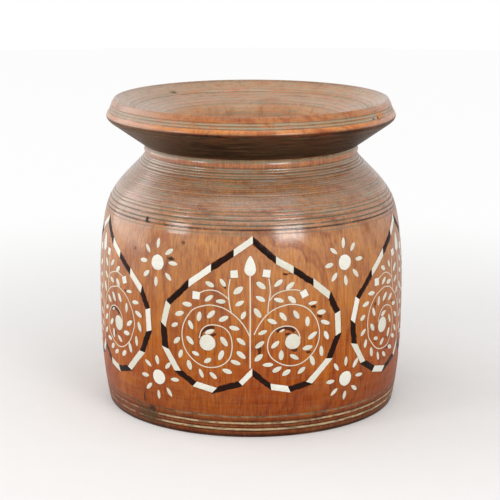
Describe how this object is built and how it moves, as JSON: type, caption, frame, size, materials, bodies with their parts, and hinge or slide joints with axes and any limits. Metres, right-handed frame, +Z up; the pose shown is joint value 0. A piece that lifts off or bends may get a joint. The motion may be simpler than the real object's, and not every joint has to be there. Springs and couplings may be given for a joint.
{
  "type": "ghee pot",
  "caption": "Turned wooden ghee pot with a round hollow body, narrow neck and wide dished rim, and pale hearts, discs, squares and drops inlaid flush round its wall.",
  "frame": {"origin": "centre of the flat underside, on the surface that the pot stands on", "axes": "+Z is up, along the axis that the pot is turned on; the first heart faces -Y and +X is to its right"},
  "size_m": [0.2924, 0.2924, 0.2915],
  "materials": {
    "wood": "satin lacquered red-brown turned hardwood with fine vertical fibres",
    "bone": "polished cream bone, set flush; the borders alternate bone with near-black wood"
  },
  "bodies": {
    "root": {"pot_body": "wood", "border_1": "bone", "stem_1": "bone", "bud_1": "bone", "left_disc_1": "bone", "right_disc_1": "bone", "left_inner_square_1": "bone", "left_outer_square_1": "bone", "right_inner_square_1": "bone", "right_outer_square_1": "bone", "upper_rosette_disc_1": "bone", "lower_rosette_disc_1": "bone", "border_2": "bone", "stem_2": "bone", "bud_2": "bone", "left_disc_2": "bone", "right_disc_2": "bone", "left_inner_square_2": "bone", "left_outer_square_2": "bone", "right_inner_square_2": "bone", "right_outer_square_2": "bone", "upper_rosette_disc_2": "bone", "lower_rosette_disc_2": "bone", "border_3": "bone", "stem_3": "bone", "bud_3": "bone", "left_disc_3": "bone", "right_disc_3": "bone", "left_inner_square_3": "bone", "left_outer_square_3": "bone", "right_inner_square_3": "bone", "right_outer_square_3": "bone", "upper_rosette_disc_3": "bone", "lower_rosette_disc_3": "bone", "border_4": "bone", "stem_4": "bone", "bud_4": "bone", "left_disc_4": "bone", "right_disc_4": "bone", "left_inner_square_4": "bone", "left_outer_square_4": "bone", "right_inner_square_4": "bone", "right_outer_square_4": "bone", "upper_rosette_disc_4": "bone", "lower_rosette_disc_4": "bone", "border_5": "bone", "stem_5": "bone", "bud_5": "bone", "left_disc_5": "bone", "right_disc_5": "bone", "left_inner_square_5": "bone", "left_outer_square_5": "bone", "right_inner_square_5": "bone", "right_outer_square_5": "bone", "upper_rosette_disc_5": "bone", "lower_rosette_disc_5": "bone"}
  },
  "joints": []
}
